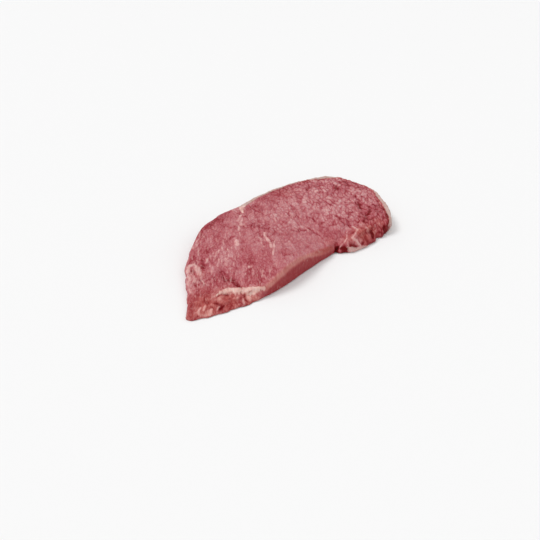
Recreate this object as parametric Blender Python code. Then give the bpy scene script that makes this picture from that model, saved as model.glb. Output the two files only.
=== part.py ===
"""A raw boneless beef steak, lying flat, in metres with +Z up.

The origin is the bottom centre of the steak's bounding box. +X runs along the steak, from the thin
tail to the blunt end, and +Y from the straight trimmed edge to the curved edge with the fat rim.
The sizes below are in millimetres, about a point near the steak's middle, and the finished points
are moved to the origin and turned into metres together.
"""

import math

import bmesh
import bpy
import numpy as np
from mathutils import Vector, noise

MM = 0.001

# The widest contour of the steak seen from above, counter-clockwise from the tip of the tail. Each
# point is where the edge changes its course, and a smooth closed curve runs through them all.
OUTLINE = (
    (-108.0, -27.5),  # tip of the tail
    (-97.0, -34.5),
    (-70.0, -41.8),
    (-44.0, -43.5),  # trimmed edge, nearly straight
    (-20.0, -41.2),
    (0.0, -39.3),
    (10.0, -39.0),
    (16.0, -38.6),  # notch before the side muscle
    (21.0, -42.8),
    (31.0, -47.5),
    (54.0, -49.0),  # side muscle
    (74.0, -45.0),
    (89.5, -36.0),  # fat rim round the blunt end
    (100.3, -22.6),
    (109.0, -6.0),
    (111.0, 12.0),
    (105.5, 29.0),
    (93.0, 41.0),
    (62.0, 48.4),  # fat rim along the back
    (22.0, 49.6),
    (0.0, 46.8),  # end of the fat rim
    (-19.0, 47.4),
    (-46.0, 38.5),  # shoulder, without fat
    (-70.0, 19.5),
    (-84.0, 5.5),
    (-95.5, -11.5),
    (-103.0, -20.5),
)

# The four outline points between which the top is laid out as a grid, and the grid's size.
TAIL_CORNER, FRONT_CORNER, BACK_CORNER, SHOULDER_CORNER = 0, 12, 17, 22
CELLS_LONG = 88
CELLS_ACROSS = 38
CURVE_STEPS = 24  # steps of the curve between two outline points, before it is spaced evenly

# Thickness along the steak, at its trimmed edge and at its curved edge.
THICKNESS = (
    # x, front, back
    (-110.0, 1.8, 2.2),
    (-98.0, 2.4, 4.4),
    (-82.0, 2.6, 7.5),
    (-66.0, 2.8, 10.5),
    (-56.0, 5.6, 11.8),
    (-45.0, 11.2, 12.8),
    (-28.0, 14.3, 13.8),
    (-10.0, 11.2, 14.4),
    (2.0, 8.0, 14.6),
    (16.0, 6.0, 14.6),
    (45.0, 8.2, 14.6),
    (80.0, 9.0, 14.0),
    (115.0, 9.5, 12.5),
)
HALF_WIDTH = 49.0
CROWN = 0.9  # how much the middle stands above the edges
CROWN_ALONG = (-110.0, -40.0)  # along X: where the crown begins, and is full
EVENING = (-9.0, -6.0, -3.0, 0.0, 3.0, 6.0, 9.0)  # shifts along X over which the thickness is averaged

# The side wall's profile: how far each level lies inside the contour, and its share of the height.
UPRIGHT_SIDE = ((1.8, 0.0), (0.7, 0.14), (0.1, 0.34), (0.0, 0.58), (0.5, 0.8), (1.6, 0.95))
CUT_SIDE = ((0.0, 0.0), (0.15, 0.2), (0.5, 0.42), (0.9, 0.64), (1.3, 0.85), (1.9, 0.965))
SLOPED_SIDE = ((0.6, 0.0), (0.0, 0.12), (0.4, 0.3), (1.5, 0.52), (3.3, 0.75), (5.6, 0.93))
CUT_ALONG = (-66.0, -52.0, 9.0, 17.0)  # along X: where the plain cut begins, is full, fades and ends
SLOPE_ACROSS = (-20.0, -28.0)  # along Y: where the sides outside the cut begin to slope, and slope fully
SLOPE_END = (58.0, 76.0)  # along X: where the slope gives way to the upright blunt end
# How far the sloped side reaches in, as a share of its profile, at places along X.
SLOPE_REACH = ((-109.0, 0.2), (-94.0, 1.0), (5.0, 1.0), (17.0, 0.5), (26.0, 0.6), (45.0, 1.3), (76.0, 1.3))
FULL_SIDE = 9.0  # where the steak is thinner than this, its side is rounded less
LEAST_SIDE = 0.25
EDGE_DROP = 0.05  # share of the thickness lost at the very edge of the top
EDGE_REACH = 3.5  # how far in from the contour the top is rounded over

# Fat rim: a band that stands a little proud along the curved side and round the blunt end.
RIM_WIDTH = 3.2
RIM_SOFTNESS = 1.0
RIM_RISE = 0.7
RIM_BACK = (0.0, 6.0)  # along X: where the rim begins on the back, and is full
RIM_FRONT = (50.0, 70.0)  # along X: the same at the front

# Creases and seams in the top, and the forms that swell above it: points along each, its half
# width and its depth or height.
GROOVES = (
    # under the main muscle, down to the band of fat that parts it from the tail muscle
    (((-65.0, -8.0), (-67.0, -17.0), (-65.0, -25.0), (-64.5, -31.0)), 3.0, 1.2),
    # between the main muscle and the side muscle, running into the notch
    (((17.0, -41.0), (24.0, -36.0), (34.0, -32.0), (50.0, -27.0)), 3.2, 1.5),
    # open seams in the side muscle and in the middle
    (((58.0, -37.0), (66.0, -30.0), (74.0, -20.0)), 3.0, 1.1),
    (((-10.0, 14.0), (-3.0, 8.0), (4.0, 7.0)), 3.2, 0.6),
)
RIDGES = (
    # the band of fat at the tail
    (((-83.0, -23.0), (-75.0, -24.5), (-69.5, -31.0), (-58.0, -41.0)), 3.6, 1.0),
    # the side muscle
    (((38.0, -38.0), (55.0, -37.0), (72.0, -31.0)), 6.0, 0.8),
)

# The uneven surface of raw meat: wavelength and height of each of its noises.
LUMPS = ((30.0, 0.9), (13.0, 0.45), (6.5, 0.28))
RELIEF_FROM = (1.5, 4.0)  # thickness at which the relief begins, and is full
SIDE_LUMP = 0.6  # share of the same noise in the side wall, where it is squeezed
SIDE_SQUEEZE = 1.7

MEAT_COLOUR = (0.445, 0.144, 0.153, 1.0)
MEAT_ROUGHNESS = 0.45


def smooth_step(low, high, x):
    """0 at low, 1 at high and an even S between them."""
    t = np.clip((x - low) / (high - low), 0, 1)
    return t * t * (3 - 2 * t)


def curve_point(first, share):
    """The point at a share of the way from one outline point to the next, on a smooth closed curve."""
    a, b, c, d = (np.array(OUTLINE[(first + k) % len(OUTLINE)]) for k in (-1, 0, 1, 2))
    slope = c - a
    bend = 2 * a - 5 * b + 4 * c - d
    twist = 3 * b - a - 3 * c + d
    return b + (slope * share + bend * share**2 + twist * share**3) / 2


def curve_run(first, last, cells):
    """Evenly spaced points along the curve from one outline point to another, both ends included."""
    span = (last - first) % len(OUTLINE)
    steps = range(span * CURVE_STEPS + 1)
    fine = np.array([curve_point(first + k // CURVE_STEPS, k % CURVE_STEPS / CURVE_STEPS) for k in steps])
    along = np.concatenate([[0], np.cumsum(np.linalg.norm(np.diff(fine, axis=0), axis=1))])
    wanted = np.linspace(0, along[-1], cells + 1)
    return np.column_stack([np.interp(wanted, along, fine[:, axis]) for axis in (0, 1)])


def contour():
    """The contour as one ring of points, and the number of cells on each side of the grid in it."""
    corners = (TAIL_CORNER, FRONT_CORNER, BACK_CORNER, SHOULDER_CORNER, TAIL_CORNER)
    cells = (CELLS_LONG, CELLS_ACROSS, CELLS_LONG, CELLS_ACROSS)
    runs = [curve_run(corners[k], corners[k + 1], cells[k]) for k in range(len(cells))]
    return np.vstack([run[:-1] for run in runs]), cells


def distance_to_path(x, y, path):
    """Distance from each (x, y) to the nearest straight piece of a path."""
    best = np.full(np.shape(x), np.inf)
    for (ax, ay), (bx, by) in zip(path, path[1:]):
        length = (bx - ax) ** 2 + (by - ay) ** 2
        t = np.clip(((x - ax) * (bx - ax) + (y - ay) * (by - ay)) / length, 0, 1)
        best = np.minimum(best, np.hypot(x - ax - t * (bx - ax), y - ay - t * (by - ay)))
    return best


def lumps(x, y):
    """The uneven surface, as a sum of noises of several sizes."""
    total = np.zeros(len(x))
    for wave, height in LUMPS:
        total += height * np.array([noise.noise(Vector((u / wave, v / wave, wave))) for u, v in zip(x, y)])
    return total


def thickness(x, y):
    """Thickness of the steak before its edges are rounded."""
    stations, front, back = np.array(THICKNESS).T
    front = np.mean([np.interp(x + shift, stations, front) for shift in EVENING], axis=0)
    back = np.mean([np.interp(x + shift, stations, back) for shift in EVENING], axis=0)
    across = smooth_step(-HALF_WIDTH, HALF_WIDTH, y)
    crown = CROWN * (1 - (y / HALF_WIDTH) ** 2) * smooth_step(*CROWN_ALONG, x)
    return front * (1 - across) + back * across + crown


def rim_share(x, y, inside):
    """1 in the band of fat along the curved side and round the blunt end, and 0 in the meat."""
    along = np.where(y > 0, smooth_step(*RIM_BACK, x), smooth_step(*RIM_FRONT, x))
    return along * (1 - smooth_step(RIM_WIDTH - RIM_SOFTNESS, RIM_WIDTH + RIM_SOFTNESS, inside))


def top_height(x, y, inside):
    """Height of the top at (x, y), which lies the given distance inside the contour."""
    body = thickness(x, y)
    relief = lumps(x, y) + RIM_RISE * rim_share(x, y, inside)
    for sign, features in ((-1, GROOVES), (1, RIDGES)):
        for path, half_width, size in features:
            relief += sign * size * np.exp(-((distance_to_path(x, y, path) / half_width) ** 2))
    rounded = body * (1 - EDGE_DROP * np.exp(-inside / EDGE_REACH))
    return rounded + relief * smooth_step(*RELIEF_FROM, body)


def side_shares(x, y):
    """How much of the plain cut and of the sloped side there is in the side wall at (x, y)."""
    begin, full, fade, end = CUT_ALONG
    cut = smooth_step(begin, full, x) * (1 - smooth_step(fade, end, x)) * (y < 0)
    slope = smooth_step(*SLOPE_ACROSS, y) * (1 - smooth_step(*SLOPE_END, x))
    return cut, (1 - cut) * slope


def side_levels(ring):
    """The rings that climb the side wall, each as rows of (x, y, z), from the base to the top's edge."""
    x, y = ring.T
    along = np.roll(ring, -1, axis=0) - np.roll(ring, 1, axis=0)
    inward = np.column_stack([-along[:, 1], along[:, 0]]) / np.linalg.norm(along, axis=1)[:, None]
    cut, slope = side_shares(x, y)
    upright = 1 - cut - slope
    slim = np.clip(thickness(x, y) / FULL_SIDE, LEAST_SIDE, 1)
    reach = np.interp(x, *zip(*SLOPE_REACH))
    uneven = lumps(x * SIDE_SQUEEZE, y * SIDE_SQUEEZE) * SIDE_LUMP * slim
    height = top_height(x, y, np.zeros(len(ring)))
    profiles = zip(CUT_SIDE, SLOPED_SIDE, UPRIGHT_SIDE)
    levels = []
    for (cut_in, cut_up), (slope_in, slope_up), (upright_in, upright_up) in profiles:
        inset = cut * cut_in * slim + slope * slope_in * reach + upright * upright_in * slim
        up = cut * cut_up + slope * slope_up + upright * upright_up
        inset += uneven * np.sin(math.pi * up)
        levels.append(np.column_stack([ring + inward * inset[:, None], height * up]))
    return levels


def grid_inside(edge, cells):
    """Rows of (x, y) points that fill a ring: a Coons patch between its four sides."""
    starts = np.cumsum((0,) + cells)
    closed = np.vstack([edge, edge[:1]])
    front, end, back, shoulder = [closed[a : b + 1] for a, b in zip(starts, starts[1:])]
    back, shoulder = back[::-1], shoulder[::-1]
    u = np.linspace(0, 1, CELLS_LONG + 1)[None, :, None]
    v = np.linspace(0, 1, CELLS_ACROSS + 1)[:, None, None]
    sides = (1 - v) * front[None] + v * back[None] + (1 - u) * shoulder[:, None] + u * end[:, None]
    front_corners = (1 - v) * ((1 - u) * front[0] + u * front[-1])
    back_corners = v * ((1 - u) * back[0] + u * back[-1])
    return sides - front_corners - back_corners


def top_grid(ring, edge, cells):
    """The top as rows of (x, y, z), whose border is the side wall's last ring."""
    flat = grid_inside(edge[:, :2], cells)
    x, y = flat.reshape(-1, 2).T
    inside = distance_to_path(x, y, np.vstack([ring, ring[:1]]))
    heights = top_height(x, y, inside).reshape(flat.shape[:2])
    return np.dstack([flat, heights])


def border_places():
    """Row and column in the grid of each point of the ring round it."""
    places = [(0, i) for i in range(CELLS_LONG)]
    places += [(j, CELLS_LONG) for j in range(CELLS_ACROSS)]
    places += [(CELLS_ACROSS, i) for i in range(CELLS_LONG, 0, -1)]
    places += [(j, 0) for j in range(CELLS_ACROSS, 0, -1)]
    return places


def to_origin(levels, grid):
    """Move all the points so that the origin is the bottom centre of their box."""
    points = np.vstack(levels)
    middle = (points.min(axis=0) + points.max(axis=0)) / 2
    middle[2] = 0
    return [level - middle for level in levels], grid - middle


def make_steak():
    """The steak as one closed mesh: its side wall, its top and a flat base."""
    ring, cells = contour()
    levels = side_levels(ring)
    grid = top_grid(ring, levels[-1], cells)
    levels, grid = to_origin(levels, grid)

    bm = bmesh.new()
    rings = [[bm.verts.new(point * MM) for point in level] for level in levels]
    for low, high in zip(rings, rings[1:]):
        for k in range(len(low)):
            n = (k + 1) % len(low)
            bm.faces.new((low[k], low[n], high[n], high[k]))
    top = dict(zip(border_places(), rings[-1]))
    for j in range(1, CELLS_ACROSS):
        for i in range(1, CELLS_LONG):
            top[j, i] = bm.verts.new(grid[j, i] * MM)
    for j in range(CELLS_ACROSS):
        for i in range(CELLS_LONG):
            bm.faces.new((top[j, i], top[j, i + 1], top[j + 1, i + 1], top[j + 1, i]))
    bm.faces.new(rings[0][::-1])
    bmesh.ops.recalc_face_normals(bm, faces=bm.faces)
    mesh = bpy.data.meshes.new("steak")
    bm.to_mesh(mesh)
    bm.free()
    mesh.shade_smooth()
    return mesh


def meat():
    """Raw beef, moist and pinkish red."""
    material = bpy.data.materials.new("raw_meat")
    material.use_nodes = True
    shader = material.node_tree.nodes["Principled BSDF"]
    shader.inputs["Base Color"].default_value = MEAT_COLOUR
    shader.inputs["Roughness"].default_value = MEAT_ROUGHNESS
    shader.inputs["Metallic"].default_value = 0.0
    return material


def main():
    for old in list(bpy.data.objects):
        bpy.data.objects.remove(old)
    steak = bpy.data.objects.new("steak", make_steak())
    steak.data.materials.append(meat())
    bpy.context.scene.collection.objects.link(steak)


main()
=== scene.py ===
"""A raw boneless beef steak on a plain pale floor, seen from the photograph's viewing angle.

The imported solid's form is built again on a finer grid, and the bundles of fibre, creases, seams,
webs and fat of the cut meat are worked into its surface. Sizes are in millimetres until they are
handed to Blender. The tables that shape the form are about a point near the steak's middle, as in
the part's source, and those that place its marks are from the steak's origin.
"""

import math
from types import SimpleNamespace

import bpy
import numpy as np
from mathutils import Matrix, Vector, noise


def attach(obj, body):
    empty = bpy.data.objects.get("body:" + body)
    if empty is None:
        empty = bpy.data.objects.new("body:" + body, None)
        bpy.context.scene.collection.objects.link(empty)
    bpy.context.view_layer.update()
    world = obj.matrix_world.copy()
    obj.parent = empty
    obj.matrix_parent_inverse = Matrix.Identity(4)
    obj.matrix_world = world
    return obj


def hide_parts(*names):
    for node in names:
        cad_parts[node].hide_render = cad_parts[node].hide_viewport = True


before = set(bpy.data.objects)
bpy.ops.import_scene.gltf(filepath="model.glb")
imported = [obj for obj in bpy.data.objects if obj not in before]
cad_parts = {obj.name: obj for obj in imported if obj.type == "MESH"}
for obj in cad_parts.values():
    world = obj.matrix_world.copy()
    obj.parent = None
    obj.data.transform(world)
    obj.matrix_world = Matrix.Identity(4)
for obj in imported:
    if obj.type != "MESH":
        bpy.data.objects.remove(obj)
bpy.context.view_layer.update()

MM = 0.001
NODE = "steak"

# The widest contour seen from above, counter-clockwise from the tip of the tail.
OUTLINE = (
    (-108, -27.5),  # tip of the tail
    (-97, -34.5),
    (-70, -41.8),
    (-44, -43.5),  # trimmed edge, nearly straight
    (-20, -41.2),
    (0, -39.3),
    (10, -39),
    (16, -38.6),  # notch before the side muscle
    (21, -42.8),
    (31, -47.5),
    (54, -49),  # side muscle
    (74.6, -46.7),
    (89.5, -36),  # fat rim round the blunt end
    (100.3, -22.6),
    (109, -6),
    (111, 12),
    (105.5, 29),
    (93, 41),
    (62, 48.4),  # fat rim along the back
    (22, 49.6),
    (0, 46.8),  # end of the fat rim
    (-19, 47.4),
    (-46, 38.5),  # shoulder, without fat
    (-71, 20.6),
    (-84, 5.5),
    (-95.5, -11.5),
    (-103, -20.5),
)

# The outline points at the corners of the grids that the top and the base are laid out as: the tail,
# the front and back of the blunt end, the shoulder and the tail again. Then the size of the grids.
CORNERS = (0, 12, 17, 22, 0)
CELLS_LONG, CELLS_ACROSS = 308, 138
SIDE_CELLS = (CELLS_LONG, CELLS_ACROSS) * 2
WALL_ROWS = 13
CURVE_STEPS = 48  # steps of the curve between two outline points, before it is spaced evenly

# Thickness along the steak, at its trimmed edge and at its curved edge.
THICKNESS = (
    # x, front, back
    (-110, 1.8, 2.2),
    (-98, 2.4, 4.4),
    (-82, 2.6, 7.5),
    (-66, 2.8, 10.5),
    (-56, 5.6, 11.8),
    (-45, 11.2, 12.8),
    (-28, 14.3, 13.8),
    (-10, 11.2, 14.4),
    (2, 8, 14.6),
    (16, 6, 14.6),
    (45, 8.2, 14.6),
    (80, 9, 14),
    (115, 9.5, 12.5),
)
HALF_WIDTH = 49.0
CROWN = 0.9  # how much the middle stands above the edges
CROWN_ALONG = (-110, -40)  # along X: where the crown begins, and is full
EVENING = range(-9, 10, 3)  # shifts along X over which the thickness is averaged

# The side wall's profile: how far each level lies inside the contour, and its share of the height.
UPRIGHT_SIDE = ((1.8, 0), (0.7, 0.14), (0.1, 0.34), (0, 0.58), (0.5, 0.8), (1.6, 0.95))
CUT_SIDE = ((0, 0), (0.15, 0.2), (0.5, 0.42), (0.9, 0.64), (1.3, 0.85), (1.9, 0.965))
SLOPED_SIDE = ((0.6, 0), (0, 0.12), (0.4, 0.3), (1.5, 0.52), (3.3, 0.75), (5.6, 0.93))
CUT_ALONG = (-66, -52, 9, 17)  # along X: where the plain cut begins, is full, fades and ends
SLOPE_ACROSS = (-20, -28)  # along Y: where the sides outside the cut begin to slope, and slope fully
SLOPE_END = (58, 76)  # along X: where the slope gives way to the upright blunt end
# How far the sloped side reaches in, as a share of its profile, at places along X.
SLOPE_REACH = ((-109, 0.2), (-94, 1), (5, 1), (17, 0.5), (26, 0.6), (45, 1.3), (76, 1.3))
FULL_SIDE = 9.0  # where the steak is thinner than this, its side is rounded less
LEAST_SIDE = 0.25
EDGE_DROP = 0.05  # share of the thickness lost at the very edge of the top
EDGE_REACH = 3.5  # how far in from the contour the top is rounded over

# Fat rim: a band that stands a little proud along the curved side and round the blunt end.
RIM_WIDTH = 3.2
RIM_SOFTNESS = 1.0
RIM_RISE = 0.7
RIM_BACK = (0, 6)  # along X: where the rim begins on the back, and is full
RIM_FRONT = (50, 70)  # along X: the same at the front

# The solid's creases and seams, and the forms that swell above its top: points, half width, size.
GROOVES = (
    ((-65, -8), (-67, -17), (-65, -25), (-64.5, -31), 2.4, 0.7),
    ((17, -41), (24, -36), (34, -32), (50, -27), 3.2, 1.5),
    ((58, -37), (66, -30), (74, -20), 3, 1.1),
    ((-10, 14), (-3, 8), (4, 7), 3.2, 0.6),
)
RIDGES = (
    ((-83, -23), (-75, -24.5), (-69.5, -31), (-58, -41), 3.6, 1),
    ((38, -38), (55, -37), (72, -31), 6, 0.8),
)

# The uneven surface of the solid: wavelength and height of each of its noises.
LUMPS = ((30, 0.9), (13, 0.45), (6.5, 0.28))
RELIEF_FROM = (1.5, 4)  # thickness at which the relief begins, and is full
SIDE_LUMP = 0.6  # share of the same noise in the side wall, where it is squeezed
SIDE_SQUEEZE = 1.7

# The photograph's camera: where it stands from the steak's origin, how it is turned, and its lens.
CAMERA_AT = (-250.01, -234.92, 194.99)
CAMERA_YAW, CAMERA_PITCH, CAMERA_ROLL = 45.44, -32.76, 1.25
CAMERA_LENS = 34.95
CAMERA_CLIP = 0.01  # in metres

# The grain of the cut meat: the way it runs, from +X towards +Y in degrees, and how far it is drawn
# out along it and through the thickness.
GRAIN_ANGLE = 52.0
GRAIN_STRETCH = 2.0
DEPTH_STRETCH = 2.5
STROKE_END = 0.55  # width of a stroke at its ends, as a share of its full width

# Width of the fat rim, in from the contour, at places round it. Where the side is upright, the top
# begins about 1.7 inside the contour, so that much of the width is on the wall.
FAT_RIM = (
    # x, y, width
    (66, -48.3, 0),
    (70, -47.6, 1),
    (73, -46.8, 1.8),
    (77, -44.8, 3),
    (81, -41.7, 3.7),
    (85, -38.7, 4.1),
    (91, -33, 4.4),
    (98, -24, 4.2),
    (103, -16, 4.4),
    (108, -5, 2.4),
    (109.5, 10, 1.8),
    (106, 26, 1.8),
    (97, 37, 4.4),
    (86, 42.5, 4.4),
    (72, 46, 2.4),
    (60, 48, 3),
    (40, 49, 4),
    (30, 49.2, 3.8),
    (18, 49, 4.2),
    (6, 47.2, 5),
    (-1, 46.4, 5.4),
    (-5, 46.4, 3),
    (-9, 46.5, 0),
)
# Fat that runs through the meat, from the corner where the rim begins and in a band at the tail:
# points along each, with the half width there.
FAT_BANDS = (
    ((1, 44, 2.6), (-3.2, 40.4, 2), (-6.2, 36.8, 1.2), (-9, 33.2, 0.5)),
    ((-84.5, -25.2, 0.4), (-82, -25.2, 0.8), (-77.5, -25.6, 2), (-74.5, -27, 3), (-71, -31, 3.2)),
    ((-72.5, -30.5, 2.8), (-69, -33.5, 2.8), (-66, -36, 2.2), (-62.5, -38.8, 1.5), (-58.5, -41.6, 0.8)),
    ((-71, -28.5, 1), (-67, -31.5, 1.1), (-64, -35.5, 0.9), (-61, -39.5, 0.6)),
)
# Pale webs of membrane and streaks of marbling, and a few painted highlights, marked below. Each stroke is
# its points, half width and strength.
WEB_STROKES = (
    ((-9.5, 33), (-14.3, 30), (-20.9, 25), 1.2, 0.85),
    ((-17, 25), (-21.5, 21), (-25.9, 17.9), (-29.5, 14.5), 1.6, 0.85),
    ((-15, 27.5), (-19, 21), (-22, 16), 1, 0.7),
    ((-17.8, 0.1), (-21.7, -5.5), (-26.4, -14.2), (-29.4, -18.6), 1.3, 1.05),
    ((-21, -13), (-26.2, -17.9), (-30.3, -21.5), (-35, -25.9), 1.1, 1),
    ((-25.4, -0.6), (-26.6, -4.9), (-30.3, -10.3), (-32.3, -13.8), 1.1, 0.7),
    ((-8, -17), (-16, -24.5), 0.6, 0.4),
    ((-40.3, 5.7), (-41.3, 3.8), 1.8, 1.4),
    ((-41.2, 4), (-42.3, 2.4), (-43, 0.6), 1.3, 1.4),
    ((-36.8, 9.2), (-38.4, 7.4), 0.9, 0.7),
    ((-31.5, 11), (-34, 7.3), 1.1, 0.7),
    ((-82.5, 6.8), (-78.5, 10.3), (-76.5, 10.2), (-74.4, 9), 1.5, 1.2),
    ((-74.4, 9), (-75.2, 5.4), (-77.2, 1.8), (-78.4, -1.8), 2, 1.25),
    ((-78.4, -1.8), (-80.4, -5.8), (-82.2, -9.6), 1.1, 0.7),
    ((-83.6, 4.8), (-85.8, 0.3), (-90.1, -4.9), 1.4, 0.8),
    ((-64.2, 7.2), (-67.7, 4.8), 1.2, 0.6),
    ((-82.4, -0.6), (-84, -3.2), (-85.4, -5.4), 1.5, 0.8),
    ((-87, -3), (-92, -9), (-94, -14), 1.4, 0.7),
    # painted highlight along the shoulder's edge
    ((-60, 26), (-63.4, 19), (-66.8, 13.5), 0.9, 0.8),
    ((-60, 27), (-56, 27.5), (-53, 29), 0.8, 0.6),
    ((-62.7, 2.7), (-58.5, 5), (-54, 7.5), 1, 0.7),
    ((-61.5, -11), (-59.5, -12.5), 1.3, 0.7),
    ((-52.8, -20.8), (-50.8, -22.4), 1.4, 0.9),
    ((-58, -22), (-56, -22.5), 1, 0.7),
    ((-102, -31), (-101.7, -30), (-99.8, -28.1), (-97.6, -26.3), 0.9, 1.5),
    ((-98, -30.2), (-97.2, -29.2), (-95, -26.9), 0.9, 1.3),
    ((-102.2, -32.4), (-99.4, -33.6), 0.8, 0.6),
    ((-101.6, -31.4), (-98.8, -32.6), 0.7, 0.45),
    ((-88.5, -24.9), (-84.4, -25.3), 0.9, 0.7),
    ((-97.8, -33.9), (-95.5, -32.8), (-93.3, -32), 1, 1.3),
    ((-90.9, -34.6), (-89.2, -33.6), (-87.7, -33.2), 0.8, 1.4),
    # painted highlight on the tail's left edge
    ((-98.6, -14.2), (-96.3, -12.2), 0.9, 0.8),
    ((-74.8, -39.5), (-72.6, -37.5), 0.8, 1.2),
    ((-70.2, -40.9), (-68.9, -38.6), 1, 1.3),
    ((-77.8, -39.2), (-76.6, -38.8), 0.7, 0.8),
    # painted highlight spots on the tail's lumps, this and the next
    ((-85, -28.7), (-84.2, -28.3), 1.3, 0.5),
    ((-76.2, -35.2), (-75.2, -34.8), 1.3, 0.5),
    ((19.9, -40.2), (22, -39.8), (24.8, -40.2), (28, -39.4), (31.2, -37.3), (36.2, -33), 0.8, 1),
    ((44.8, -31.4), (42.8, -34.2), (42.4, -36.8), (40.6, -39.2), (36.9, -40.2), (33.1, -41.4), 1, 1),
    ((33.1, -41.4), (31.5, -42.2), (31.8, -43.3), (32.6, -44.8), (33.2, -46.5), (34.6, -47.9), 1, 1.4),
    ((50.2, -39.4), (50, -41.1), (50.8, -42.5), (50, -44.7), 0.7, 0.8),
    ((59.8, -40.9), (58.7, -42.4), (56, -43.5), 0.8, 0.7),
    ((64.9, -41.9), (62.3, -44), 0.8, 0.6),
    ((47.5, -3.5), (44.8, -6), (42, -8.5), 1.3, 0.6),
    ((14, -11), (13, -13), 1.4, 0.6),
    ((74, -8), (70, -12.5), 1.1, 0.5),
    ((67, -15.5), (62, -18.5), 1, 0.55),
    ((7, 14), (10, 15), 1.4, 0.45),
    ((38, 22), (42, 27), 1.4, 0.4),
)
# Dark creases and seams.
CREASE_STROKES = (
    ((-66.9, -8.4), (-68.6, -14.3), (-66.8, -19.2), (-67, -24.3), (-66.5, -29.5), 0.8, 0.7),
    ((-64.8, -7.9), (-65.7, -14), (-65.5, -20.7), (-65.4, -26.4), 0.7, 0.65),
    ((-68, -13.6), (-70.3, -18.3), 0.6, 0.6),
    ((-66.6, -21.5), (-66, -27.5), 1.4, 0.7),
    ((-69.2, 6.4), (-70, 4), 0.8, 0.6),
    ((-81, -5), (-81.7, -7), (-83.1, -12.7), 0.9, 0.7),
    ((-85.5, -4.6), (-87.2, -9.8), 0.8, 0.6),
    ((-71.8, -33.1), (-70.6, -34.3), 0.6, 0.9),
    ((-71.8, -39.9), (-71.1, -38.7), 0.7, 1),
    ((-70.7, -37), (-70.3, -36.3), 0.8, 0.8),
    ((-85.6, -26.8), (-82.8, -26.3), (-79.5, -27.4), (-77, -29.5), 0.6, 0.7),
    ((-80.3, -31.4), (-79.6, -33), 0.7, 0.45),
    ((-79.3, 6.2), (-80.5, 2), 1.5, 0.8),
    ((-72, 5), (-71, 1), 0.8, 0.45),
    ((-14.8, 11), (-14.2, 6.4), (-11.5, 2.9), (-8, 4), 0.9, 0.9),
    ((-14.8, 11), (-11.5, 12), (-8, 11), 0.7, 0.6),
    ((-21, 4), (-21.5, 0), (-24, -3), 0.9, 0.55),
    ((-16.6, -15.3), (-20.3, -21.7), (-16.6, -23.9), 0.8, 0.5),
    ((18, 11), (17, 7), (15.5, 4), 1.2, 0.65),
    ((16, -11.7), (15.9, -17.8), (15.8, -23.8), 0.9, 0.75),
    ((2, -6), (6, -11), (12, -13), 0.8, 0.5),
    ((30, -1), (34, 1), 0.8, 0.65),
    ((44.5, 16), (44, 12), 1, 0.5),
    ((60, 28), (63, 29.5), 1.3, 0.55),
    ((63, 19), (67, 20), 1, 0.55),
    ((81, 12), (83, 16), (86, 18), 1.3, 0.75),
    ((84.5, 2), (83.5, -5), 1.2, 0.7),
    ((89, -6), (89.5, -12), 1.1, 0.6),
    ((79, -11), (75, -14.5), (71, -18.5), 1.7, 0.85),
    ((79, -21), (75, -25.5), (71, -28), (66, -29), 1.8, 0.85),
    ((66, -29), (63, -32), (59, -36), 1.5, 0.35),
    ((56, -19), (60, -20), 0.9, 0.5),
    # These last two darken the notch and its corner as painted shadow.
    ((16.5, -37.2), (21, -35.8), 0.9, 0.7),
    ((15.6, -40.8), (17, -39.4), (18.6, -39), 1.2, 1.3),
)
# Deep red, wet hollows in the side muscle and the tail. Their darkness is partly the meat's own wet crimson
# and partly painted shade, and runs to near black as painted shadow where a hollow is strongest, as in the
# notch.
DEEP_STROKES = (
    # The notch's painted shadow, deepest of all.
    ((18.2, -39.4), (16.9, -39.7), (15.8, -40), 1.4, 2),
    ((20, -41.4), (21.8, -43), (23.4, -44.2), 1.7, 1),
    ((19.5, -42.8), (22, -44.4), 1.4, 0.8),
    ((25.6, -44), (28.2, -45.6), (30.6, -46.6), 1.3, 0.75),
    ((36.4, -46.6), (38.2, -47.2), 1.2, 0.6),
    ((53, -43.6), (51.4, -45.4), (50.2, -47.2), 2.3, 1.2),
    ((66, -46.2), (65, -47.4), (63.8, -48.6), 2.2, 1.3),
    ((39, -46.5), (42, -46), 1.3, 0.4),
    ((-89, -35.3), (-87.4, -35), (-86, -34.6), 1.5, 1),
    ((-89.4, -29), (-87.1, -32.1), (-86.6, -34), 0.9, 0.55),
    ((-92.3, -29.7), (-92.5, -31.2), 1, 0.35),
    ((-102.2, -26.8), (-100.8, -27), 1, 0.35),
    ((-103.6, -31.1), (-102.8, -31.6), 0.9, 0.5),
    ((-66.8, -24), (-66.4, -28.5), 1.1, 0.5),
)
# Soft round patches, each as x, y, radius and strength: where the meat is more orange, paler, redder,
# and where the cut surface is smoother.
ORANGE_PATCHES = (
    # tail
    (-105, -28, 8, 0.9), (-95, -28, 14, 1.15), (-82, -33, 12, 1.2), (-69, -40, 9, 1.1), (-79, -1, 6, 0.4),
    # side muscle
    (16, -35.5, 7, 0.4), (30, -40, 6, 0.7), (43, -43, 8, 1.1), (53, -43, 8, 1), (64, -42, 7, 0.7),
    # back
    (42, 37, 8, 0.3),
)
PALE_PATCHES = (
    # tail
    (-88, -10, 9, 0.1), (-78, 2, 8, 0.1), (-66, 0, 6, 0.4), (-54, 0, 8, 1), (-54, 7, 6, 0.8),
    # middle
    (-42, -32, 12, 0.3), (-38, 15, 6, 0.3), (-27, -10, 7, 0.6), (-22, 20, 6, 0.6), (5, -5, 9, 0.5),
    (6, -28, 9, 0.4), (8, 10, 13, 0.8), (36, 24, 12, 0.2), (45, -7, 8, 0.5), (58, 16, 12, 0.25),
    # blunt end
    (62, -15.4, 4, 0.5), (62.5, -22.5, 4, 0.7), (72, -8, 8, 0.5), (85, -11, 6, 0.6), (88, 0, 7, 0.5),
    (88, 33, 9, 0.3),
)
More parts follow.
